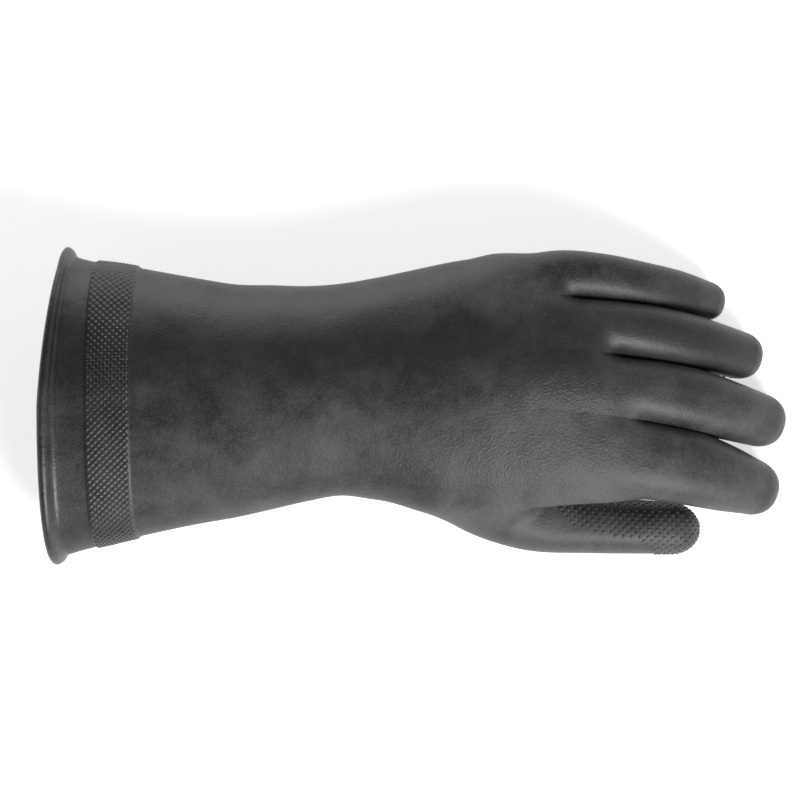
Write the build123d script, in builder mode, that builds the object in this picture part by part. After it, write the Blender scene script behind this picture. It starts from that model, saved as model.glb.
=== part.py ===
"""Left-hand electrical insulating glove, 13 inch pattern, lying palm down.

A dipped rubber glove is one wall of rubber. It is built here as that wall, cut where the glove folds and
where the moulding changes: rolled bead, flared hem, knurled band, gauntlet, wrist, hand, and three
lengths to each digit. The fold rings between them are the rubber that creases as a hand inside bends.

Frame: +X towards the fingertips, +Y towards the little finger, +Z out of the back of the hand.
The origin is on the surface that the glove lies on, under the middle of its bounding box. Millimetres.
"""

from build123d import *

import os
from math import cos, hypot, radians, sin

os.makedirs("parts", exist_ok=True)

# --- driving dimensions -------------------------------------------------------------------------
WALL = 1.2  # rubber thickness
BEAD_RADIUS = 2.6  # rolled edge of the cuff
BEAD_PATH = (-162.6, 0.0, 36.0, 67.8, 33.4)  # x, centre y, centre z, half width, half height
BAND_PROUD = 0.4  # knurled band above the plain wall
BAND_START, BAND_END = -145.6, -126.6
WRIST_FOLD = (-63.0, -37.0)  # from and to, where the wrist bends up and down
HEEL_FOLD = (-23.0, -5.0)  # from and to, where the hand swings sideways on the wrist
FOLD_RELIEF = 1.5  # radius of the round root of each fold, on the hinge line
FOLD_SPARE = 1.5  # degrees of air left at each fold's limit

# Sections of the gauntlet and hand: x, centre y, centre z, half width, half height, yaw in degrees.
ARM = [
    (-161.0, 0.0, 36.0, 67.4, 33.0, 0),
    (-157.0, 0.3, 36.0, 66.0, 32.2, 0),
    (-152.0, 0.7, 36.0, 64.4, 31.6, 0),
    (-144.6, 1.1, 36.0, 63.0, 31.2, 0),
    (-127.0, 2.0, 36.0, 59.3, 30.7, 0),
    (-109.2, 2.6, 36.2, 55.8, 30.1, 0),
    (-91.4, 2.8, 36.6, 52.6, 29.4, 0),
    (-73.7, 3.9, 37.0, 50.1, 28.6, 0),
    (-56.0, 5.6, 37.5, 47.9, 27.6, 0),
    (-42.7, 7.1, 38.0, 46.9, 26.6, 0),
    (-25.0, 8.0, 38.8, 48.6, 25.8, 0),
    (-8.9, 9.3, 39.6, 51.6, 24.7, 0),
    (9.1, 10.8, 40.2, 55.2, 23.1, 0),
    (28.6, 11.6, 40.4, 57.4, 21.2, 8),
    (48.6, 13.4, 40.0, 57.2, 18.8, 14),
    (64.6, 13.0, 39.2, 55.4, 16.4, 18),
    (72.4, 12.0, 38.8, 52.0, 14.4, 19),
]

# Digits: centreline points from inside the hand to the tip's centre (x, y, z), then the half width
# and half height at each. The tip is a dome on the last section, which is round.
DIGITS = {
    "little": (
        [(33, 56.5, 39.5), (61, 58.8, 38.5), (92, 55.0, 32.5), (110.5, 52.6, 24.0), (128, 49.8, 11.0)],
        [(10.5, 12.5), (10.2, 11.6), (9.4, 10.8), (9.0, 10.4), (9.0, 9.0)],
    ),
    "ring": (
        [(45, 38.5, 40.5), (78, 35.6, 38.5), (108.5, 30.6, 32.0), (126.5, 27.2, 23.5), (142.6, 24.2, 12.6)],
        [(10.9, 14.0), (10.8, 12.6), (11.5, 12.2), (11.3, 12.0), (10.8, 10.8)],
    ),
    "middle": (
        [(50, 13.6, 41.0), (88, 8.2, 38.5), (117.5, 2.6, 32.0), (135.5, -0.9, 24.0), (152.4, -3.9, 12.9)],
        [(13.0, 14.6), (13.2, 12.8), (13.5, 12.4), (13.5, 12.3), (12.8, 12.8)],
    ),
    "index": (
        [(50, -16.4, 41.0), (88, -23.0, 38.5), (115.5, -28.6, 32.5), (132.5, -32.3, 25.0),
         (148.5, -35.9, 13.6)],
        [(17.2, 15.4), (16.9, 13.9), (16.4, 13.4), (15.4, 13.2), (13.4, 13.4)],
    ),
    "thumb": (
        [(0, -28, 31.5), (25, -41.0, 23.5), (49, -51.2, 17.6), (76, -54.2, 15.6), (95.5, -55.4, 14.6),
         (113.8, -56.7, 13.2)],
        [(20.5, 18.5), (17.4, 17.0), (14.7, 15.8), (12.9, 15.0), (11.9, 14.0), (11.0, 11.0)],
    ),
}

# Folds: name, x on the centreline, the largest bend towards the palm and away from it in degrees, and
# the direction of the hinge line. The four fingers share one hinge direction, so they bend side by side.
SIDEWAYS, THUMB_ROOT, THUMB_BEND = (0.19, 0.98, 0), (0, 0, -1), (0, 0.8, 0.6)
FOLDS = {
    "little": [
        ("knuckle", 69.5, 65, 10, SIDEWAYS),
        ("middle", 94.5, 65, 0, SIDEWAYS),
        ("tip", 112.5, 44, 0, SIDEWAYS),
    ],
    "ring": [
        ("knuckle", 87.0, 65, 10, SIDEWAYS),
        ("middle", 110.0, 65, 0, SIDEWAYS),
        ("tip", 128.5, 44, 0, SIDEWAYS),
    ],
    "middle": [
        ("knuckle", 97.5, 65, 10, SIDEWAYS),
        ("middle", 119.5, 65, 0, SIDEWAYS),
        ("tip", 137.5, 44, 0, SIDEWAYS),
    ],
    "index": [
        ("knuckle", 97.5, 65, 10, SIDEWAYS),
        ("middle", 118.0, 65, 0, SIDEWAYS),
        ("tip", 134.5, 44, 0, SIDEWAYS),
    ],
    "thumb": [
        ("root", 51.0, 25, 0, THUMB_ROOT),
        ("middle", 73.5, 35, 0, THUMB_BEND),
        ("tip", 95.0, 45, 0, THUMB_BEND),
    ],
}
HINGE_DEPTH = 0.5  # hinge line's distance from the centreline, as a share of the half height there
FOLD_REACH = (40.0, 21.0)  # how far a fold's V runs from the hinge line, and to each side along it


def arm_loft(grow, stations):
    """The gauntlet and hand as one closed loft through elliptical sections, grown by `grow` all round."""
    with BuildPart() as loft_part:
        for x, y, z, wide, high, yaw in stations:
            lateral = (-sin(radians(yaw)), cos(radians(yaw)), 0)
            forward = (cos(radians(yaw)), sin(radians(yaw)), 0)
            with BuildSketch(Plane(origin=(x, y, z), x_dir=lateral, z_dir=forward)):
                Ellipse(wide + grow, high + grow)
        loft()
    return loft_part.part


def section_plane(origin, ahead):
    """A plane across the digit at `origin`: local X is level, to the left of `ahead`."""
    level = Vector(-ahead.Y, ahead.X, 0).normalized()
    return Plane(origin=origin, x_dir=level, z_dir=ahead.normalized())


def digit_loft(name, grow):
    """One digit as a closed loft along its centreline, with a domed tip, grown by `grow` all round."""
    points = [Vector(*p) for p in DIGITS[name][0]]
    sizes = DIGITS[name][1]
    with BuildPart() as loft_part:
        for n, (wide, high) in enumerate(sizes):
            ahead = points[min(n + 1, len(points) - 1)] - points[max(n - 1, 0)]
            with BuildSketch(section_plane(points[n], ahead)):
                Ellipse(wide + grow, high + grow)
        loft()
        with Locations(section_plane(points[-1], points[-1] - points[-2])):
            Sphere(sizes[-1][0] + grow, arc_size1=0, align=(Align.CENTER, Align.CENTER, Align.MIN))
    return loft_part.part


def centreline_at(name, x):
    """Point, direction and half sizes of a digit's centreline at a given x."""
    points, sizes = DIGITS[name]
    for n in range(len(points) - 1):
        (x0, y0, z0), (x1, y1, z1) = points[n], points[n + 1]
        if x <= x1 or n == len(points) - 2:
            share = (x - x0) / (x1 - x0)
            wide = sizes[n][0] + share * (sizes[n + 1][0] - sizes[n][0])
            high = sizes[n][1] + share * (sizes[n + 1][1] - sizes[n][1])
            point = Vector(x, y0 + share * (y1 - y0), z0 + share * (z1 - z0))
            return point, Vector(x1 - x0, y1 - y0, z1 - z0).normalized(), wide, high
    return None


def hinge_of(name, fold):
    """Plane across the hinge line of one fold: local X runs along the digit, local Y away from the bend."""
    _, x, _, _, line = fold
    point, ahead, wide, high = centreline_at(name, x)
    axis = Vector(*line).normalized()
    forward = (ahead - axis * ahead.dot(axis)).normalized()
    bend = axis.cross(forward)
    size = 1 / hypot(hypot(bend.X, bend.Y) / wide, bend.Z / high)
    return Plane(origin=point + bend * (HINGE_DEPTH * size), x_dir=forward, z_dir=axis * -1)


def fold_cutter(name, fold):
    """The space between two rigid lengths: a wide V on the side that closes, a narrow one behind."""
    _, _, close_deg, open_deg, _ = fold
    reach, across = FOLD_REACH
    with BuildPart() as cutter:
        with BuildSketch(hinge_of(name, fold)):
            Circle(FOLD_RELIEF)
            for side, limit in ((-1, close_deg), (1, open_deg)):
                half = radians(limit / 2 + FOLD_SPARE)
                far, height = reach * sin(half), side * reach * cos(half)
                with BuildLine():
                    Polyline((0, 0), (-far, height), (far, height), close=True)
                make_face()
        extrude(amount=across, both=True)
    return cutter.part


def slab(low_x, high_x):
    """A box that holds everything between two stations."""
    with BuildPart() as block:
        with Locations(((low_x + high_x) / 2, 0, 36)):
            Box(high_x - low_x, 220, 160)
    return block.part


def save(solid, name):
    """Label a finished piece and write it to its own STEP file."""
    solid.label = name
    export_step(solid, f"parts/{name}.step")
    box = solid.bounding_box()
    print(f"{name:24s} solids {len(solid.solids())}  x {box.min.X:7.1f} {box.max.X:7.1f}"
          f"  y {box.min.Y:6.1f} {box.max.Y:6.1f}  z {box.min.Z:5.1f} {box.max.Z:5.1f}")


# --- outer and inner faces of the wall ------------------------------------------------------------
# The inner face starts before the cuff, so the cuff is open, and stops one wall short of the webs.
arm_outer = arm_loft(0, ARM)
cuff_end, web_end = ARM[0], ARM[-1]
arm_inner = arm_loft(
    -WALL, [(cuff_end[0] - 5, *cuff_end[1:]), *ARM[1:-1], (web_end[0] - WALL, *web_end[1:])]
)
digit_outer = {name: digit_loft(name, 0) for name in DIGITS}
digit_inner = {name: digit_loft(name, -WALL) for name in DIGITS}

# --- cuff bead: the rolled edge -----------------------------------------------------------------
x, y, z, wide, high = BEAD_PATH
with BuildPart() as cuff_bead:
    with BuildLine(Plane(origin=(x, y, z), x_dir=(0, 1, 0), z_dir=(1, 0, 0))) as bead_path:
        EllipticalCenterArc((0, 0), wide, high, start_angle=0, arc_size=360)
    with BuildSketch(Plane(origin=(x, y + wide, z), x_dir=(1, 0, 0), z_dir=(0, 0, 1))):
        Circle(BEAD_RADIUS)
    sweep(path=bead_path.line, is_frenet=True)
save(cuff_bead.part, "cuff_bead")

# --- flared hem between the bead and the knurled band --------------------------------------------
with BuildPart() as cuff_flare:
    add(arm_outer)
    add(arm_inner, mode=Mode.SUBTRACT)
    add(slab(-170, BAND_START), mode=Mode.INTERSECT)
    add(cuff_bead.part, mode=Mode.SUBTRACT)
save(cuff_flare.part, "cuff_flare")

# --- knurled band --------------------------------------------------------------------------------
with BuildPart() as grip_band:
    add(arm_loft(BAND_PROUD, ARM))
    add(arm_inner, mode=Mode.SUBTRACT)
    add(slab(BAND_START, BAND_END), mode=Mode.INTERSECT)
save(grip_band.part, "grip_band")

# --- gauntlet, wrist and their folds: lengths of the plain wall ----------------------------------
for name, low_x, high_x in (
    ("gauntlet", BAND_END, WRIST_FOLD[0]),
    ("wrist_fold", *WRIST_FOLD),
    ("wrist", WRIST_FOLD[1], HEEL_FOLD[0]),
    ("palm_heel_fold", *HEEL_FOLD),
):
    with BuildPart() as length:
        add(arm_outer)
        add(arm_inner, mode=Mode.SUBTRACT)
        add(slab(low_x, high_x), mode=Mode.INTERSECT)
    save(length.part, name)

# --- digits: three rigid lengths and three fold rings each ----------------------------------------
for name in DIGITS:
    with BuildPart() as digit:
        add(digit_outer[name])
        add(digit_inner[name], mode=Mode.SUBTRACT)
    with BuildPart() as lengths:
        add(digit.part)
        for fold in FOLDS[name]:
            add(fold_cutter(name, fold), mode=Mode.SUBTRACT)
    for label, solid in zip(("base", "middle", "tip"), lengths.part.solids().sort_by(Axis.X)[-3:]):
        save(solid, f"{name}_{label}")
    for fold in FOLDS[name]:
        with BuildPart() as ring:
            add(digit.part)
            add(fold_cutter(name, fold), mode=Mode.INTERSECT)
        save(ring.part, f"{name}_{fold[0]}_fold")

# --- hand, with the roots of the five digits -----------------------------------------------------
roots = {}
for name in DIGITS:
    for skin, solid in (("outer", digit_outer[name]), ("inner", digit_inner[name])):
        with BuildPart() as root:
            add(solid)
            add(fold_cutter(name, FOLDS[name][0]), mode=Mode.SUBTRACT)
        roots[name, skin] = root.part.solids().sort_by(Axis.X)[0]
with BuildPart() as hand:
    add(arm_outer)
    for name in DIGITS:
        add(roots[name, "outer"])
    add(arm_inner, mode=Mode.SUBTRACT)
    for name in DIGITS:
        add(roots[name, "inner"], mode=Mode.SUBTRACT)
    add(slab(HEEL_FOLD[1], 200), mode=Mode.INTERSECT)
save(hand.part, "hand")
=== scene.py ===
"""Looks of a black rubber insulating glove for the left hand, lying palm down.

The skin is one smooth surface, worked out as the zero level of a field: a sleeve with elliptical
sections, a hand, and five tapering digits, melted together at the webs. It is cut into pieces where
the rubber is not bending, so that each piece rides on one body or bends across one joint.
Lengths in this script are millimetres until a mesh is made. +X is towards the fingertips.
"""

import math

import bpy
import numpy as np
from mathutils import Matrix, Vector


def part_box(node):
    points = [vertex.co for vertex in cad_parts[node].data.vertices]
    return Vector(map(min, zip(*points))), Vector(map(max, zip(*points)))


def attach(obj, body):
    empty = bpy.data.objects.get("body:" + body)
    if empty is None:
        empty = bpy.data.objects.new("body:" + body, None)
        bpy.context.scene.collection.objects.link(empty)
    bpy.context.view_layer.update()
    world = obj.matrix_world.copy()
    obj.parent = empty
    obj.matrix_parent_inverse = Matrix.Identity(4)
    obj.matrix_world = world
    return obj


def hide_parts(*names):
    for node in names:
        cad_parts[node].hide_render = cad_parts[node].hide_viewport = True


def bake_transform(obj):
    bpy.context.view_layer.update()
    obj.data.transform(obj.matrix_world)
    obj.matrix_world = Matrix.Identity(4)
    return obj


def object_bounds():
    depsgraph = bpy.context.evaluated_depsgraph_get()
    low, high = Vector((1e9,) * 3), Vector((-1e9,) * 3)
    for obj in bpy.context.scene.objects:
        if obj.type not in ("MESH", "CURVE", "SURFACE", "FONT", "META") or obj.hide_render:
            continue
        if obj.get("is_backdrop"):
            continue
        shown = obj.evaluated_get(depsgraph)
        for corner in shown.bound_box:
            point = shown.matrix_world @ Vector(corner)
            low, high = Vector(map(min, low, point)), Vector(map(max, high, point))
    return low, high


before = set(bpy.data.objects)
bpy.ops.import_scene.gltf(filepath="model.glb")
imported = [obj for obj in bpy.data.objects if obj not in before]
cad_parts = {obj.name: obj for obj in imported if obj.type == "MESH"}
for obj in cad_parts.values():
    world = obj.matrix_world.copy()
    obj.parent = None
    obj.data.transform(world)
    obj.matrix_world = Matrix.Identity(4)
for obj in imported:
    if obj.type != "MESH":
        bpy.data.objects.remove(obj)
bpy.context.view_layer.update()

MM = 0.001
WALL = 1.2  # rubber thickness

# --- shape of the wall ---------------------------------------------------------------------------
# Sections across the sleeve and hand: x, lowest and highest y, lowest and highest z.
ARM = np.array([
    (-163.0, -67.2, 67.8, 3.0, 69.2),
    (-157.0, -65.2, 66.0, 4.2, 67.8),
    (-150.0, -63.2, 64.6, 4.8, 67.2),
    (-136.0, -59.8, 63.0, 5.0, 67.0),
    (-118.0, -55.6, 59.8, 5.6, 66.4),
    (-100.0, -51.9, 56.6, 6.6, 65.8),
    (-84.0, -49.1, 54.1, 7.8, 65.5),
    (-68.0, -45.5, 53.7, 9.0, 65.3),
    (-52.0, -41.8, 53.3, 10.3, 65.0),
    (-38.0, -39.4, 54.3, 11.6, 64.8),
    (-22.0, -41.2, 56.9, 12.8, 64.7),
    (-6.0, -42.6, 60.2, 14.3, 64.4),
    (12.0, -43.6, 63.9, 16.2, 63.7),
    (32.0, -45.6, 66.6, 18.6, 62.3),
    (50.0, -44.6, 68.6, 20.8, 59.8),
    (70.0, -42.6, 68.8, 23.2, 56.0),
    (90.0, -41.0, 66.0, 25.4, 52.0),
])

# Digits: x, y, z of the centreline, half width and half height. The last point is the centre of the
# tip, and `dome` is how far the tip reaches past it.
DIGITS = {
    "little": dict(dome=10.6, path=np.array([
        (33.0, 52.5, 39.6, 12.0, 13.0), (61.0, 57.8, 38.8, 11.2, 12.2), (78.0, 56.8, 36.6, 10.8, 11.8),
        (96.0, 54.1, 31.4, 10.4, 11.2), (112.0, 51.5, 23.2, 10.1, 10.6), (127.2, 48.6, 11.4, 9.1, 10.0)])),
    "ring": dict(dome=12.0, path=np.array([
        (45.0, 37.5, 40.6, 12.2, 14.4), (74.0, 35.6, 39.2, 12.1, 13.2), (94.0, 33.2, 36.2, 12.4, 12.6),
        (112.0, 30.2, 30.6, 12.3, 12.2), (128.0, 27.0, 22.4, 11.6, 12.0), (142.6, 23.7, 12.6, 10.9, 11.6)])),
    "middle": dict(dome=14.2, path=np.array([
        (50.0, 11.4, 41.2, 14.0, 15.0), (82.0, 9.0, 39.4, 13.7, 13.6), (102.0, 6.0, 36.2, 14.3, 12.9),
        (120.0, 2.4, 31.0, 14.3, 12.6), (137.0, -2.0, 23.0, 13.3, 12.5), (151.4, -5.9, 13.2, 12.3, 12.4)])),
    "index": dict(dome=16.4, path=np.array([
        (50.0, -17.0, 41.2, 18.4, 15.6), (82.0, -21.4, 39.3, 17.8, 14.2), (102.0, -24.3, 36.0, 17.3, 13.8),
        (118.0, -27.5, 31.4, 16.7, 13.6), (133.0, -31.9, 24.4, 15.2, 13.6),
        (146.6, -36.1, 14.8, 13.0, 13.2)])),
    "thumb": dict(dome=13.4, path=np.array([
        (6.0, -29.0, 31.0, 16.0, 16.5), (24.0, -39.6, 24.0, 17.6, 16.6), (48.0, -50.4, 17.6, 15.2, 15.8),
        (74.0, -54.0, 15.7, 12.9, 15.0), (94.0, -55.0, 15.0, 12.2, 14.4), (111.6, -55.7, 14.6, 11.6, 13.2)])),
}
FINGERS = ("little", "ring", "middle", "index")
# The webs' line between the fingers, as x at each y, where the hand gives way to single fingers.
WEB_Y = (-46.0, -6.0, 23.5, 47.0, 70.0)
WEB_X = (92.0, 88.0, 78.0, 60.0, 40.0)
HAND_END_ROUND, WEB_ROUND = 14.0, 8.0
THUMB_ROUND_X, THUMB_ROUND = (10.0, 46.0, 58.0), (16.0, 10.0, 3.0)  # the fillet narrows along the thumb
# From these x on, each digit has a wall of its own, apart from the hand and from the other digits.
OWN_FROM = {"little": 62.5, "ring": 62.5, "middle": 80.0, "index": 90.0, "thumb": 48.0}
GAP = 0.25  # air between fingers that lie side by side
TUCK = 0.05  # how far a digit's wall starts under the hand's
SAMPLES = 72  # points kept along each digit's centreline
SLEEVE_POWER, DIGIT_POWER = 2.15, 2.4  # 2 is an ellipse, and more is squarer
FAR_AWAY = 40.0  # stands for the distance to a digit that isn't near


def smooth_at(x, knots, values):
    """Cubic curve through (knots, values), for many x at once; `values` may have several columns."""
    knots, values = np.asarray(knots, float), np.asarray(values, float)
    slopes = np.gradient(values, knots, axis=0)
    i = np.clip(np.searchsorted(knots, x) - 1, 0, len(knots) - 2)
    step = knots[i + 1] - knots[i]
    t = np.clip((x - knots[i]) / step, 0, 1)
    if values.ndim > 1:
        t, step = t[..., None], step[..., None]
    return (values[i] * (2 * t**3 - 3 * t**2 + 1) + slopes[i] * step * (t**3 - 2 * t**2 + t)
            + values[i + 1] * (3 * t**2 - 2 * t**3) + slopes[i + 1] * step * (t**3 - t**2))


def unit(v):
    """Vectors scaled to length 1."""
    return v / np.maximum(np.linalg.norm(v, axis=-1, keepdims=True), 1e-9)


def melt(a, b, reach):
    """Union of two fields with a fillet of about `reach`."""
    h = np.clip(reach - np.abs(a - b), 0, None) / reach
    return np.minimum(a, b) - h * h * reach / 4


def ellipse_field(u, v, wide, high, power):
    """Distance to an ellipse that is squarer the higher the power, good near its edge."""
    r = (np.abs(u / wide) ** power + np.abs(v / high) ** power) ** (1 / power)
    size = np.sqrt(u * u + v * v) + 1e-6
    return (r - 1) * size / np.maximum(r, 1e-3)


class Digit:
    """A tapering tube with a domed tip, along a smooth centreline."""

    def __init__(self, name):
        path = DIGITS[name]["path"]
        self.dome = DIGITS[name]["dome"]
        run = np.concatenate([[0], np.cumsum(np.linalg.norm(np.diff(path[:, :3], axis=0), axis=1))])
        self.length = run[-1]
        self.s = np.linspace(0, self.length, SAMPLES)
        rows = smooth_at(self.s, run, path)
        self.centre, self.sizes = rows[:, :3], rows[:, 3:]
        self.ahead = unit(np.gradient(self.centre, self.s, axis=0))
        self.level = unit(np.stack([-self.ahead[:, 1], self.ahead[:, 0], np.zeros(SAMPLES)], 1))
        self.up = np.cross(self.ahead, self.level)
        reach = self.sizes.max() + 20
        self.low, self.high = self.centre.min(0) - reach, self.centre.max(0) + reach

    def frame_at(self, s):
        """Centre, direction, level and up vectors, and half sizes at arc length s."""
        j = np.clip(s / self.length * (SAMPLES - 1), 0, SAMPLES - 1.001)
        i = j.astype(int)
        t = (j - i)[..., None]
        return tuple(a[i] * (1 - t) + a[i + 1] * t
                     for a in (self.centre, self.ahead, self.level, self.up, self.sizes))

    def locate(self, p):
        """Arc length of the centreline point that faces each point."""
        s = np.empty(len(p))
        for k in range(0, len(p), 200000):
            q = p[k:k + 200000]
            near = ((q[:, None, :] - self.centre[None, ::3, :]) ** 2).sum(2).argmin(1) * 3
            here = self.s[near]
            for _ in range(3):
                c, a, *_rest = self.frame_at(here)
                here = np.clip(here + ((q - c) * a).sum(1) * 0.9, 0, self.length)
            s[k:k + 200000] = here
        return s

    def field(self, p):
        """Distance to the digit's skin: below zero inside."""
        s = self.locate(p)
        c, a, lv, up, size = self.frame_at(s)
        q = p - c
        u, v = (q * lv).sum(1), (q * up).sum(1)
        w = (q * a).sum(1)
        w = np.where(s >= self.length - 1e-6, np.maximum(w, 0) / self.dome,
                     np.where(s <= 1e-6, np.minimum(w, 0) / size[:, 0], 0))
        wide, high = size[:, 0], size[:, 1]
        side = (np.abs(u / wide) ** DIGIT_POWER + np.abs(v / high) ** DIGIT_POWER) ** (2 / DIGIT_POWER)
        r = np.sqrt(side + w * w)
        w = w * self.dome
        far = np.sqrt(u * u + v * v + w * w) + 1e-6
        return (r - 1) * far / np.maximum(r, 1e-3)


digits = {name: Digit(name) for name in DIGITS}


def arm_field(p):
    """The sleeve and hand, closed by a rounded end along the webs."""
    row = smooth_at(p[:, 0], ARM[:, 0], ARM[:, 1:])
    cy, wide = (row[:, 0] + row[:, 1]) / 2, (row[:, 1] - row[:, 0]) / 2
    cz, high = (row[:, 2] + row[:, 3]) / 2, (row[:, 3] - row[:, 2]) / 2
    tube = ellipse_field(p[:, 1] - cy, p[:, 2] - cz, wide, high, SLEEVE_POWER)
    end = (p[:, 0] - smooth_at(p[:, 1], WEB_Y, WEB_X)) * 0.9
    return -melt(-tube, -end, HAND_END_ROUND)


def digit_values(p):
    """Distance to each digit on its own, or FAR_AWAY."""
    out = np.full((len(p), len(digits)), FAR_AWAY)
    for n, digit in enumerate(digits.values()):
        near = ((p > digit.low) & (p < digit.high)).all(1)
        out[near, n] = digit.field(p[near])
    return out


def field(p):
    """Distance to the glove's outer skin: below zero inside."""
    arm, one = arm_field(p), digit_values(p)
    return np.minimum(melt(arm, one[:, :4].min(1), WEB_ROUND),
                      melt(arm, one[:, 4], np.interp(p[:, 0], THUMB_ROUND_X, THUMB_ROUND)))


def lone_field(n):
    """The field of the hand with one digit, which is pressed flat where it meets its neighbours."""
    def value(p):
        one = digit_values(p)
        own, others = one[:, n], np.delete(one, n, 1).min(1)
        own = np.maximum(own, (own - others + GAP) / 2)
        round_by = np.interp(p[:, 0], THUMB_ROUND_X, THUMB_ROUND) if n == 4 else WEB_ROUND
        return melt(arm_field(p), own, round_by)
    return value


def gradient(f, p, step=0.3):
    """How f changes along x, y and z at each point."""
    out = np.empty_like(p)
    for axis in range(3):
        shift = np.zeros(3)
        shift[axis] = step
        out[:, axis] = (f(p + shift) - f(p - shift)) / (2 * step)
    return out


def surface_nets(f, xs, ys, zs):
    """Points and quads of the zero level of f on a grid of lines xs, ys, zs."""
    grid = np.stack(np.meshgrid(xs, ys, zs, indexing="ij"), -1)
    value = np.empty(grid.shape[:3])
    for i in range(0, len(xs), 8):
        block = grid[i:i + 8]
        value[i:i + 8] = f(block.reshape(-1, 3)).reshape(block.shape[:3])
    below = value < 0
    nx, ny, nz = (n - 1 for n in below.shape)
    corners = [(i, j, k) for i in (0, 1) for j in (0, 1) for k in (0, 1)]
    count = sum(below[i:nx + i, j:ny + j, k:nz + k].astype(int) for i, j, k in corners)
    cells = np.argwhere((count > 0) & (count < 8))
    number = np.full(count.shape, -1)
    number[tuple(cells.T)] = np.arange(len(cells))
    total, hits = np.zeros((len(cells), 3)), np.zeros(len(cells))
    for a in corners:
        for axis in range(3):
            if a[axis]:
                continue
            b = tuple(a[n] + (n == axis) for n in range(3))
            ca, cb = tuple((cells + a).T), tuple((cells + b).T)
            va, vb = value[ca], value[cb]
            cross = (va < 0) != (vb < 0)
            t = np.where(cross, va / np.where(cross, va - vb, 1), 0)[:, None]
            total += np.where(cross[:, None], grid[ca] * (1 - t) + grid[cb] * t, 0)
            hits += cross
    points = total / hits[:, None]
    quads = []
    for axis in range(3):
        b, c = [n for n in range(3) if n != axis]
        first = [slice(None)] * 3
        first[axis] = slice(None, -1)
        second = [slice(None)] * 3
        second[axis] = slice(1, None)
        lo, hi = below[tuple(first)], below[tuple(second)]
        at = np.argwhere(lo != hi)
        at = at[(at[:, b] > 0) & (at[:, c] > 0) & (at[:, b] < count.shape[b]) & (at[:, c] < count.shape[c])]
        step_b, step_c = np.eye(3, dtype=int)[b], np.eye(3, dtype=int)[c]
        ring = [number[tuple(o.T)] for o in (at - step_b - step_c, at - step_c, at, at - step_b)]
        quad = np.stack(ring, 1)
        flip = lo[tuple(at.T)] == (axis == 1)
        quad[flip] = quad[flip][:, ::-1]
        quads.append(quad)
    return points, np.concatenate(quads)


def settle(f, points, quads, rounds=3):
    """Spreads the points evenly over the surface and puts them exactly on it. Also gives the normals."""
    ends = np.concatenate([quads[:, [i, (i + 1) % 4]] for i in range(4)])
    ends = np.concatenate([ends, ends[:, ::-1]])
    start, end = ends.T
    valence = np.bincount(start, minlength=len(points))[:, None]
    for n in range(rounds + 1):
        g = gradient(f, points)
        points = points - g * np.clip(f(points) / np.maximum((g * g).sum(1), 0.2), -0.6, 0.6)[:, None]
        if n < rounds:
            normal = unit(g)
            mean = np.stack([np.bincount(start, points[end, a], len(points)) for a in range(3)], 1)
            pull = (mean / np.maximum(valence, 1) - points) * 0.6
            pull -= (pull * normal).sum(1, keepdims=True) * normal
            points = points + np.where(valence >= 4, pull, 0)
    return points, unit(gradient(f, points))


# --- pieces --------------------------------------------------------------------------------------
RUBBER = {}


def make_piece(name, points, faces, normals, slot, nodes=()):
    """A mesh piece in metres, with smooth normals of its own and its rest position kept for the material."""
    mesh = bpy.data.meshes.new(name)
    mesh.from_pydata((points * MM).tolist(), [], [tuple(f) for f in faces])
    mesh.polygons.foreach_set("use_smooth", [True] * len(mesh.polygons))
    mesh.update()
    mesh.normals_split_custom_set_from_vertices(normals.tolist())
    rest = mesh.attributes.new("rest", "FLOAT_VECTOR", "POINT")
    rest.data.foreach_set("vector", (points * MM).astype(np.float32).ravel())
    mesh.materials.append(RUBBER[slot])
    piece = bpy.data.objects.new(name, mesh)
    bpy.context.scene.collection.objects.link(piece)
    if nodes:
        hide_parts(*nodes)
    return piece


def join(*parts):
    """Several (points, faces, normals) as one. Faces may be lists of different lengths."""
    points, faces, normals, start = [], [], [], 0
    for p, f, n in parts:
        points.append(p)
        normals.append(n)
        faces.extend([[int(i) + start for i in face] for face in f])
        start += len(p)
    return np.concatenate(points), faces, np.concatenate(normals)


# --- bends ---------------------------------------------------------------------------------------
# Where each digit's three bends start and end, as x on the centreline.
BENDS = {
    "little": ((61.5, 79.0), (83.0, 103.0), (105.5, 121.5)),
    "ring": ((79.0, 97.0), (100.0, 118.0), (120.5, 136.5)),
    "middle": ((90.0, 106.5), (109.5, 127.5), (130.0, 145.5)),
    "index": ((90.5, 106.0), (108.5, 126.0), (128.5, 141.5)),
    "thumb": ((48.5, 62.5), (65.5, 83.0), (86.0, 104.0)),
}
LENGTHS = ("base", "middle", "tip")
FOLD_NAMES = {name: ("knuckle", "middle", "tip") for name in FINGERS} | {"thumb": ("root", "middle", "tip")}
WRIST_BEND, HEEL_BEND = (-72.0, -32.0), (-27.0, -1.0)
CUTS = (WRIST_BEND[0], HEEL_BEND[0] - 1.5, HEEL_BEND[1] + 4.0)  # where the sleeve's pieces meet, as x
BAND = tuple(v / MM for v in (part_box("grip_band")[0][0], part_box("grip_band")[1][0]))


def on_centreline(name, x):
    """The point of a digit's centreline at x."""
    d = digits[name]
    return np.array([np.interp(x, d.centre[:, 0], d.centre[:, k]) for k in range(3)])


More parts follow.
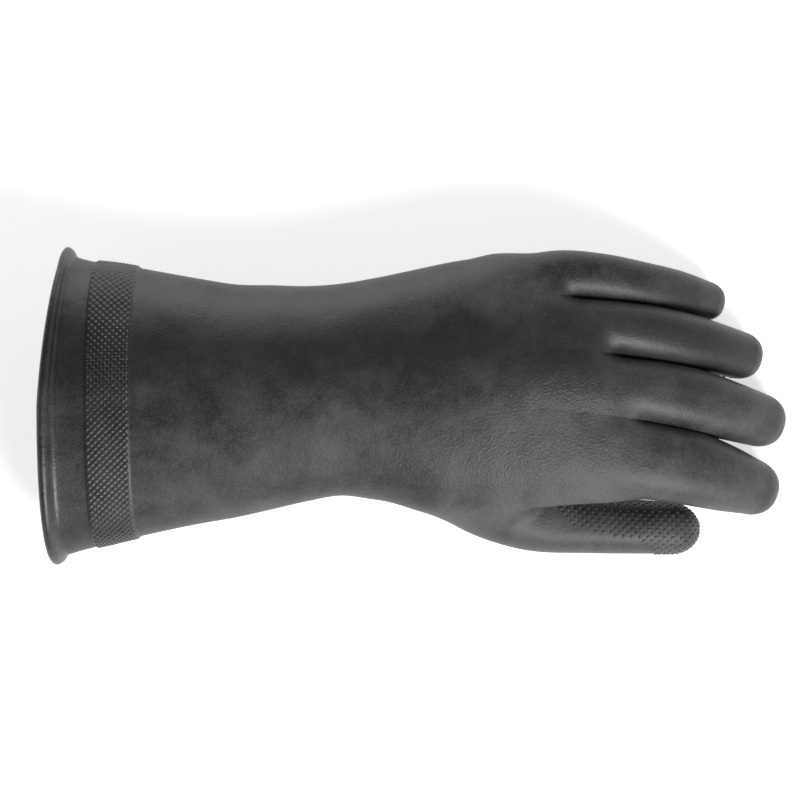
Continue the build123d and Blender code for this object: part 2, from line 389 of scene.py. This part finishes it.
# For each bending piece: the two bodies, the two ends of the bend, and the CAD nodes it stands for.
bends = {}
for name, spans in BENDS.items():
    bodies = ["hand"] + [f"{name}_{part}" for part in LENGTHS]
    for n, (low, high) in enumerate(spans):
        bends[f"{name}_{LENGTHS[n]}_skin"] = dict(
            digit=name, order=n, bodies=(bodies[n], bodies[n + 1]),
            start=on_centreline(name, low), end=on_centreline(name, high),
            nodes=(f"{name}_{FOLD_NAMES[name][n]}_fold", f"{name}_{LENGTHS[n]}"))
ARM_Y, ARM_Z = 7.0, 38.0
bends["wrist_skin"] = dict(bodies=("gauntlet", "wrist"), start=np.array([WRIST_BEND[0], ARM_Y, ARM_Z]),
                           end=np.array([WRIST_BEND[1], ARM_Y, ARM_Z]), nodes=("wrist_fold", "wrist"))
bends["palm_heel_skin"] = dict(bodies=("wrist", "hand"), start=np.array([HEEL_BEND[0], ARM_Y, ARM_Z]),
                               end=np.array([HEEL_BEND[1], ARM_Y, ARM_Z]), nodes=("palm_heel_fold",))


def along(bend, p):
    """How far through a bend each point is: 0 at its start and 1 at its end."""
    d = bend["end"] - bend["start"]
    return (p - bend["start"]) @ d / (d @ d)


def hand_pieces(points, quads):
    """The name of the piece that each face of the whole skin belongs to, or "" on a digit's own length."""
    middle = points[quads].mean(1)
    x = points[quads][:, :, 0].max(1)
    names = np.full(len(quads), "hand_skin", dtype=object)
    names[x <= CUTS[2]] = "palm_heel_skin"
    names[x <= CUTS[1]] = "wrist_skin"
    names[x <= CUTS[0]] = "gauntlet_skin"
    one = digit_values(middle)
    owner = one.argmin(1)
    on_hand = arm_field(middle) < one[:, 4]
    for n, name in enumerate(DIGITS):
        apart = (owner == n) & (x > OWN_FROM[name]) & (one[:, n] < FAR_AWAY - 1)
        names[apart & ~on_hand if name == "thumb" else apart] = ""
    return names


def digit_pieces(name, points, quads):
    """The same for the faces of one digit, and which points are tucked under the hand's skin."""
    n = list(DIGITS).index(name)

    def beside(p):
        one = digit_values(p)
        over = one[:, n] - np.delete(one, n, 1).min(1)
        return np.maximum(over, one[:, n] - arm_field(p)) if name == "thumb" else over

    names = np.full(len(quads), "", dtype=object)
    x = points[quads][:, :, 0].max(1)
    keep = (beside(points[quads].mean(1)) < 1.5) & (x > OWN_FROM[name] - 2)
    for key, bend in bends.items():
        if bend.get("digit") == name:
            past = along(bend, points)[quads].max(1) > 0
            names[keep & (past | (bend["order"] == 0))] = key
    return names, (beside(points) > 0) | (points[:, 0] < OWN_FROM[name])


def split(points, quads, normals, names):
    """The faces of each piece, with their own points."""
    for name in sorted(set(names) - {""}):
        faces = quads[names == name]
        used, local = np.unique(faces, return_inverse=True)
        yield name, (points[used], local.reshape(faces.shape), normals[used])


# --- grip dots -----------------------------------------------------------------------------------
DOT_STEP = 1.87  # half the way between dots of one row; the next row is shifted by one step
DOT_RADIUS, DOT_HEIGHT = 0.9, 0.45
DOT_SIDES = 8
THUMB_DOTS_FROM = 54.0  # x
THUMB_DOTS_EDGE = ((56, 62, 95, 103, 112), (25, 2, -24, -62, -190))  # x, and degrees from the top there


def onto_skin(f, p, rounds=4):
    """The points moved onto the zero level of f, and the normals there."""
    for _ in range(rounds):
        g = gradient(f, p)
        p = p - g * (f(p) / np.maximum((g * g).sum(1), 0.2))[:, None]
    return p, unit(gradient(f, p))


def digit_dots(name):
    """Dot centres on a digit's gripping side, before they are put on the skin."""
    d = digits[name]
    out = []
    end = d.length + d.dome * 1.35
    for i in range(int(end / DOT_STEP)):
        s = i * DOT_STEP
        c, a, lv, up, size = (v[0] for v in d.frame_at(np.array([min(s, d.length)])))
        over = max(s - d.length, 0) / (end - d.length) * math.pi / 2
        shrink = math.cos(over)
        x = c[0] + math.sin(over) * d.dome * a[0]
        if x < OWN_FROM[name] + 1:
            continue
        count = max(int(round(math.pi * (size[0] + size[1]) * max(shrink, 0.05) / (2 * DOT_STEP))), 3)
        for j in range(count):
            turn = 2 * math.pi * (j + 0.5 * (i % 2)) / count
            from_up = (math.degrees(turn) + 180) % 360 - 180
            if name == "thumb":
                first = np.interp(x, *THUMB_DOTS_EDGE)
                if x < THUMB_DOTS_FROM or not (first <= from_up or from_up < -165):
                    continue
            elif abs(from_up) < 104 - 25 * over:
                continue
            side = math.cos(turn) * up * size[1] + math.sin(turn) * lv * size[0]
            out.append(c + side * shrink + a * math.sin(over) * d.dome)
    return np.array(out)


def palm_dots():
    """Dot centres on the palm, from a lattice seen from below."""
    i, j = np.meshgrid(np.arange(56), np.arange(70), indexing="ij")
    keep = (i + j) % 2 == 0
    p = np.stack([-6 + i[keep] * DOT_STEP, -62 + j[keep] * DOT_STEP, np.full(keep.sum(), np.nan)], 1)
    for level in np.arange(0.0, 36.0, 2.0):
        probe = np.stack([p[:, 0], p[:, 1], np.full(len(p), level)], 1)
        hit = np.isnan(p[:, 2])
        hit[hit] = field(probe[hit]) < 0
        p[hit, 2] = level
    return p[~np.isnan(p[:, 2])]


def spaced(p, least=1.9):
    """Which of the points stay when none may be nearer than `least` to one before it."""
    keep = np.ones(len(p), bool)
    for n in range(len(p)):
        keep[n] = not ((np.linalg.norm(p[:n] - p[n], axis=1) < least) & keep[:n]).any()
    return keep


def dots_mesh(centres, normals):
    """Low rounded studs: points, faces and normals, and how many points each stud has."""
    rings = ((1.12, -0.25, 0.2), (1.0, 0.12, 0.35), (0.66, 0.78, 0.8), (0.3, 1.0, 1.0))
    side = unit(np.cross(normals, np.array([0.37, 0.61, 0.7])))
    other = np.cross(normals, side)
    points, shades = [], []
    for wide, high, steep in rings:
        for k in range(DOT_SIDES):
            turn = 2 * math.pi * k / DOT_SIDES
            out = math.cos(turn) * side + math.sin(turn) * other
            points.append(centres + out * DOT_RADIUS * wide + normals * DOT_HEIGHT * high)
            shades.append(unit(out * (1 - steep) + normals * steep))
    count = len(rings) * DOT_SIDES
    points = np.stack(points, 1).reshape(-1, 3)
    shades = np.stack(shades, 1).reshape(-1, 3)
    one = [[r * DOT_SIDES + k, r * DOT_SIDES + (k + 1) % DOT_SIDES,
            (r + 1) * DOT_SIDES + (k + 1) % DOT_SIDES, (r + 1) * DOT_SIDES + k]
           for r in range(len(rings) - 1) for k in range(DOT_SIDES)]
    one.append([(len(rings) - 1) * DOT_SIDES + k for k in range(DOT_SIDES)])
    faces = [[i + n * count for i in face] for n in range(len(centres)) for face in one]
    return points, faces, shades


# --- cuff: bead, flare and knurled band ----------------------------------------------------------
ROUND = 320
BEAD_X, BEAD_OUT, BEAD_RADIUS = -162.6, 0.3, 2.6
RIM_LEAN = 4.6  # the cuff's edge is this much shorter on the little finger's side
KNURL_HEIGHT, KNURL_RADIUS, KNURL_COUNT = 0.62, 1.28, 107  # height, radius, and number round the band
KNURL_STEP_X, KNURL_STEP_Y = 3.05, 2.84


def section(x, turn, out):
    """Points of the sleeve's section at x, at angles `turn`, moved outwards by `out`."""
    row = smooth_at(x, ARM[:, 0], ARM[:, 1:])
    cy, wide = (row[..., 0] + row[..., 1]) / 2, (row[..., 1] - row[..., 0]) / 2
    cz, high = (row[..., 2] + row[..., 3]) / 2, (row[..., 3] - row[..., 2]) / 2
    c, s = np.cos(turn), np.sin(turn)
    power = SLEEVE_POWER
    r = (np.abs(c / wide) ** power + np.abs(s / high) ** power) ** (-1 / power)
    ny = np.abs(c / wide) ** (power - 1) * np.sign(c) / wide
    nz = np.abs(s / high) ** (power - 1) * np.sign(s) / high
    size = np.hypot(ny, nz)
    y, z = cy + r * c + ny / size * out, cz + r * s + nz / size * out
    lean = RIM_LEAN * np.clip(y / 60, 0, 1) ** 1.2 * np.clip((BAND[0] - x) / (BAND[0] - BEAD_X), 0, 1.2)
    return np.stack([x + lean, y, z], -1)


def even_turns(count, x):
    """Angles that divide the section at x into equal arcs."""
    turn = np.linspace(0, 2 * math.pi, 4001)
    p = section(np.full_like(turn, x), turn, 0)
    run = np.concatenate([[0], np.cumsum(np.linalg.norm(np.diff(p, axis=0), axis=1))])
    return np.interp(np.arange(count) / count * run[-1], run, turn)


def swept(profile, turns):
    """A grid of the profile's points, (x, out), by angles, and the normals there."""
    x, out = np.array(profile).T
    grid = section(x[:, None] + 0 * turns[None], turns[None] + 0 * x[:, None], out[:, None] + 0 * turns[None])
    down, across = np.gradient(grid, axis=0), np.roll(grid, -1, 1) - np.roll(grid, 1, 1)
    return grid, unit(np.cross(across, down))


def grid_faces(rows, columns, flip=False):
    """Quads of a grid that closes on itself along its columns."""
    i, j = np.meshgrid(np.arange(rows - 1), np.arange(columns), indexing="ij")
    a, b = i * columns + j, i * columns + (j + 1) % columns
    quad = np.stack([a, b, b + columns, a + columns], -1).reshape(-1, 4)
    return quad[:, ::-1] if flip else quad


def rows_of(grid, normals, low, high):
    """Points, faces and normals of the grid's rows from low to high."""
    g, n = grid[low:high + 1], normals[low:high + 1]
    return g.reshape(-1, 3), grid_faces(len(g), g.shape[1]), n.reshape(-1, 3)


def cuff_profile():
    """From the band's edge, outside, round the rolled edge, and back along the inside to under the sleeve."""
    outer = [(x, 0.0) for x in np.linspace(BAND[0] + 0.6, -157.6, 9)]
    fillet = [(-158.5, 0.06), (-159.2, 0.28), (-159.75, 0.72)]
    roll = [(BEAD_X + BEAD_RADIUS * math.cos(t), BEAD_OUT + BEAD_RADIUS * math.sin(t))
            for t in np.radians(np.linspace(22, 318, 30))]
    inner = [(-160.2, -1.45), (-159.2, -1.28), (-157.6, -WALL)]
    inner += [(x, -WALL) for x in np.linspace(-155.0, BAND[1] - 4, 14)] + [(BAND[1] - 2, -WALL + 0.3)]
    return outer, fillet, roll, inner


def build_cuff():
    """The rolled edge, the hem and the knurled band, each with its part of the lining."""
    outer, fillet, roll, inner = cuff_profile()
    profile = outer + fillet + roll + inner
    turns = even_turns(ROUND, BEAD_X)
    grid, normals = swept(profile, turns)
    first_roll, last_roll = len(outer) - 1, len(outer) + len(fillet) + len(roll) + 2
    inside_band = next(n for n in range(last_roll, len(profile)) if profile[n][0] > BAND[0])
    bead = rows_of(grid, normals, first_roll, last_roll)
    flare = join(rows_of(grid, normals, 0, first_roll), rows_of(grid, normals, last_roll, inside_band))
    band_inside = rows_of(grid, normals, inside_band, len(profile) - 1)
    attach(make_piece("rolled_edge", *bead, "rolled_edge", ("cuff_bead",)), "gauntlet")
    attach(make_piece("cuff_hem", *flare, "plain_rubber", ("cuff_flare",)), "gauntlet")
    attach(make_piece("knurled_band", *join(knurled_band(), band_inside), "knurled_rubber", ("grip_band",)),
            "gauntlet")


def knurled_band():
    """The raised band, with staggered points worked into its surface."""
    per_step = 8
    turns = even_turns(KNURL_COUNT * per_step, sum(BAND) / 2)
    rows = np.arange(BAND[0] + 0.35, BAND[1] - 0.35, KNURL_STEP_X / per_step)
    column = np.arange(len(turns)) / per_step
    x = np.concatenate([BAND[0] + np.array([-0.5, -0.15, 0.1]), rows,
                        BAND[1] + np.array([-0.1, 0.25, 0.8])])
    base = np.concatenate([[-0.35, 0.1, 0.36], np.full(len(rows), 0.4), [0.36, 0.1, -0.35]])
    step = np.concatenate([[0.0] * 3, (rows - rows[0]) / KNURL_STEP_X, [0.0] * 3])
    height = np.zeros((len(x), len(turns)))
    for shift in (0.0, 0.5):
        u = (step[:, None] + shift + 0.25) % 1 - 0.5
        v = (column[None] + shift) % 1 - 0.5
        far = np.hypot(u * KNURL_STEP_X, v * KNURL_STEP_Y)
        height = np.maximum(height, np.clip(1.12 - far / KNURL_RADIUS, 0, 1))
    inner_rows = np.zeros(len(x))
    inner_rows[3:-3] = np.minimum(1, np.minimum(np.arange(len(rows)), np.arange(len(rows))[::-1]) / 2)
    out = base[:, None] + KNURL_HEIGHT * height * inner_rows[:, None]
    grid = section(x[:, None] + 0 * turns[None], turns[None] + 0 * x[:, None], out)
    normals = unit(np.cross(np.gradient(grid, axis=0), np.roll(grid, -1, 1) - np.roll(grid, 1, 1)))
    return grid.reshape(-1, 3), grid_faces(len(x), len(turns), flip=True), normals.reshape(-1, 3)


# --- skin, lining and dots -----------------------------------------------------------------------
def spread_lines(stops):
    """Grid lines from (from, step) pairs, the last of which only ends the run."""
    lines = [np.arange(a, b, step) for (a, step), (b, _) in zip(stops, stops[1:])]
    return np.concatenate(lines)


def skin(f, xs, ys, zs, flip=False):
    """Points, quads and normals of f's zero level, turned inside out for a lining."""
    points, quads = surface_nets(f, xs, ys, zs)
    points, normals = settle(f, points, quads)
    return (points, quads[:, ::-1], -normals) if flip else (points, quads, normals)


def build_skin():
    """The outer skin and the lining of every piece but the cuff, and the dots."""
    coarse = 1.0
    pieces = {}
    reach, end = BAND[1] - 2.4, 96.0
    for f, flip, steps in (
        (field, False, (1.7, 1.25, 0.75, 0.95)),
        (lambda p: field(p) + WALL, True, (3.0, 2.2, 1.8, 1.8)),
    ):
        a, b, c, d = (step * coarse for step in steps)
        part = skin(f, spread_lines([(reach, a), (-10, b), (end, 1)]), np.arange(-73, 73, c),
                    np.arange(-2, 71, d), flip)
        names = hand_pieces(part[0], part[1])
        for name, cut in split(*part, names):
            pieces.setdefault(name, []).append(cut)
    dots, up = onto_skin(field, palm_dots())
    here = hand_pieces(dots, np.arange(len(dots))[:, None])
    flat = up[:, 2] < -0.5
    for name in sorted(set(here) - {""}):
        mine = (here == name) & flat & (dots[:, 0] > CUTS[2] - 9)
        mine[mine] = spaced(dots[mine])
        if mine.any():
            pieces[name].append(dots_mesh(dots[mine], up[mine]))

    for n, name in enumerate(DIGITS):
        d, f = digits[name], lone_field(n)
        own = d.centre[:, 0] > OWN_FROM[name] - 6
        low = d.centre[own].min(0) - d.sizes[own].max() - 7
        high = d.centre[own].max(0) + d.sizes[own].max() + 7
        low[0] = OWN_FROM[name] - 4.5
        for g, flip, step in ((f, False, 0.78 * coarse), (lambda p: f(p) + WALL, True, 1.7 * coarse)):
            points, quads, normals = skin(g, *(np.arange(low[k], high[k], step) for k in range(3)), flip)
            names, tucked = digit_pieces(name, points, quads)
            points = points - normals * (TUCK * tucked * (-1 if flip else 1))[:, None]
            for key, cut in split(points, quads, normals, names):
                pieces.setdefault(key, []).append(cut)
        dots, up = onto_skin(f, digit_dots(name))
        keep = spaced(dots)
        dots, up = dots[keep], up[keep]
        here, _ = digit_pieces(name, dots, np.arange(len(dots))[:, None])
        for key in sorted(set(here) - {""}):
            pieces[key].append(dots_mesh(dots[here == key], up[here == key]))

    for name, parts in pieces.items():
        if name in ("gauntlet_skin", "hand_skin"):
            body = name.removesuffix("_skin")
            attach(make_piece(name, *join(*parts), "plain_rubber", (body,)), body)
        else:
            bend = bends[name]
            piece = make_piece(name, *join(*parts), "plain_rubber", bend["nodes"])
            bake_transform(piece)


# --- materials -----------------------------------------------------------------------------------
# Where painted light goes: the y of a painted shade strip along the hand, and the centre of a painted
# highlight on the index knuckle.
PAINTED_SHADE_STRIP_Y, PAINTED_HIGHLIGHT_PLACE = 0.027, (0.058, -0.020, 0.058)  # metres


def node(tree, kind, **settings):
    """A shader node, with each setting put on its input socket or else on its property."""
    made = tree.nodes.new(kind)
    for key, value in settings.items():
        if key in made.inputs:
            made.inputs[key].default_value = value
        else:
            setattr(made, key, value)
    return made


def rubber(name, dark, pale, rough):
    """Black rubber with a cloudy bloom, fine dust and a pebbled skin, plus a painted shade strip and a
    painted highlight.
    """
    material = bpy.data.materials.new(name)
    material.use_nodes = True
    tree, link = material.node_tree, material.node_tree.links.new
    shader = tree.nodes["Principled BSDF"]
    rest = node(tree, "ShaderNodeAttribute", attribute_name="rest").outputs["Vector"]

    def noise(scale, detail, roughness=0.55):
        made = node(tree, "ShaderNodeTexNoise", Scale=scale, Detail=detail, Roughness=roughness)
        link(rest, made.inputs["Vector"])
        return made.outputs["Fac"]

    def ramp(value, low, high, to_low=0.0, to_high=1.0):
        made = node(tree, "ShaderNodeMapRange")
        link(value, made.inputs["Value"])
        for key, v in (("From Min", low), ("From Max", high), ("To Min", to_low), ("To Max", to_high)):
            made.inputs[key].default_value = v
        return made.outputs["Result"]

    def maths(kind, a, b):
        made = node(tree, "ShaderNodeMath", operation=kind)
        for n, v in enumerate((a, b)):
            if isinstance(v, (int, float)):
                made.inputs[n].default_value = v
            else:
                link(v, made.inputs[n])
        return made.outputs[0]

    split_up = node(tree, "ShaderNodeSeparateXYZ")
    link(rest, split_up.inputs[0])
    # Painted shade: the rubber is darker in a strip along the hand, where the light falls less.
    from_band = maths("ABSOLUTE", maths("SUBTRACT", split_up.outputs["Y"], PAINTED_SHADE_STRIP_Y), 0)
    painted_shade_strip = ramp(maths("ADD", from_band, maths("MULTIPLY", noise(22, 3), 0.02)), 0.012, 0.042, 0.25, 1.0)
    # Painted highlight: a paler patch on the index finger's knuckle, where the pebbling is also made
    # stronger.
    away = node(tree, "ShaderNodeVectorMath", operation="DISTANCE")
    link(rest, away.inputs[0])
    away.inputs[1].default_value = PAINTED_HIGHLIGHT_PLACE
    painted_highlight_and_pebble_patch = ramp(away.outputs["Value"], 0.012, 0.045, 1.0, 0.0)
    cloud = ramp(noise(23, 6, 0.65), 0.42, 0.60)
    bloom = ramp(noise(95, 7, 0.75), 0.40, 0.64)
    dust = ramp(noise(1300, 4, 0.7), 0.46, 0.66)
    shade = maths("ADD", maths("MULTIPLY", cloud, 0.36), maths("MULTIPLY", bloom, 0.28))
    shade = maths("ADD", maths("ADD", shade, maths("MULTIPLY", dust, 0.42)), maths("MULTIPLY", painted_highlight_and_pebble_patch, 0.42))
    shade = maths("MULTIPLY", shade, painted_shade_strip)
    mix = node(tree, "ShaderNodeMix", data_type="RGBA")
    mix.inputs["A"].default_value = (*dark, 1)
    mix.inputs["B"].default_value = (*pale, 1)
    link(shade, mix.inputs["Factor"])
    link(mix.outputs["Result"], shader.inputs["Base Color"])
    link(ramp(shade, 0.0, 1.0, rough - 0.06, rough + 0.1), shader.inputs["Roughness"])
    grain = maths("MULTIPLY", noise(900, 2), maths("ADD", maths("MULTIPLY", painted_highlight_and_pebble_patch, 2.4), 0.8))
    pebble = node(tree, "ShaderNodeBump", Strength=0.6, Distance=0.00026)
    link(grain, pebble.inputs["Height"])
    ripple = node(tree, "ShaderNodeBump", Strength=0.3, Distance=0.0012)
    link(noise(70, 3), ripple.inputs["Height"])
    link(ripple.outputs["Normal"], pebble.inputs["Normal"])
    link(pebble.outputs["Normal"], shader.inputs["Normal"])
    RUBBER[name] = material


def build_materials():
    rubber("plain_rubber", (0.010, 0.010, 0.011), (0.086, 0.086, 0.091), 0.52)
    rubber("knurled_rubber", (0.009, 0.009, 0.010), (0.076, 0.076, 0.081), 0.42)
    rubber("rolled_edge", (0.011, 0.011, 0.012), (0.085, 0.085, 0.090), 0.40)


# --- stage ---------------------------------------------------------------------------------------
CAMERA_PLACE = (-0.0116, 0.0029, 0.736)  # metres, looking straight down
FLOOR_REACH = 3.0  # metres
LAMP_AIM = (0.0, 0.0, 0.03)


def build_stage():
    """The floor, the light and the camera."""
    mesh = bpy.data.meshes.new("floor")
    corners = [(x * FLOOR_REACH, y * FLOOR_REACH, 0) for x, y in ((-1, -1), (1, -1), (1, 1), (-1, 1))]
    mesh.from_pydata(corners, [], [(0, 1, 2, 3)])
    floor = bpy.data.objects.new("floor", mesh)
    bpy.context.scene.collection.objects.link(floor)
    material = bpy.data.materials.new("floor")
    material.use_nodes = True
    shader = material.node_tree.nodes["Principled BSDF"]
    for key, value in (("Base Color", (0.86, 0.87, 0.89, 1)), ("Roughness", 0.9), ("Specular IOR Level", 0.0),
                       ("Emission Color", (0.98, 0.99, 1.0, 1)), ("Emission Strength", 0.62)):
        shader.inputs[key].default_value = value
    mesh.materials.append(material)
    floor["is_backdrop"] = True

    world = bpy.data.worlds.new("studio")
    world.use_nodes = True
    tree = world.node_tree
    where = tree.nodes.new("ShaderNodeTexCoord")
    split_up = tree.nodes.new("ShaderNodeSeparateXYZ")
    fade = tree.nodes.new("ShaderNodeMapRange")
    for key, value in (("From Min", 0.1), ("From Max", 0.7), ("To Min", 0.78), ("To Max", 0.12)):
        fade.inputs[key].default_value = value
    tree.links.new(where.outputs["Generated"], split_up.inputs[0])
    tree.links.new(split_up.outputs["Z"], fade.inputs["Value"])
    tree.links.new(fade.outputs["Result"], tree.nodes["Background"].inputs["Strength"])
    tree.nodes["Background"].inputs["Color"].default_value = (1, 1, 1, 1)
    bpy.context.scene.world = world
    for name, place, power, size in (
        ("key", (0.40, -0.60, 0.70), 9.5, 0.36),
        ("rim", (-0.2, 1.0, 0.35), 4.0, 0.5),
    ):
        lamp = bpy.data.lights.new(name, "AREA")
        lamp.energy, lamp.size = power, size
        light = bpy.data.objects.new(name, lamp)
        light.location = place
        aim = np.array(LAMP_AIM) - np.array(place)
        light.rotation_euler = (math.acos(-aim[2] / np.linalg.norm(aim)), 0,
                                math.atan2(aim[1], aim[0]) - math.pi / 2)
        bpy.context.scene.collection.objects.link(light)

    lens = bpy.data.cameras.new("camera")
    lens.lens, lens.sensor_width, lens.clip_start, lens.clip_end = 71.0, 36.0, 0.01, 20.0
    camera = bpy.data.objects.new("camera", lens)
    camera.location = CAMERA_PLACE
    bpy.context.scene.collection.objects.link(camera)
    bpy.context.scene.camera = camera
    bpy.context.scene.view_settings.view_transform = "Standard"


build_materials()
build_cuff()
build_skin()
build_stage()

low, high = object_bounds()
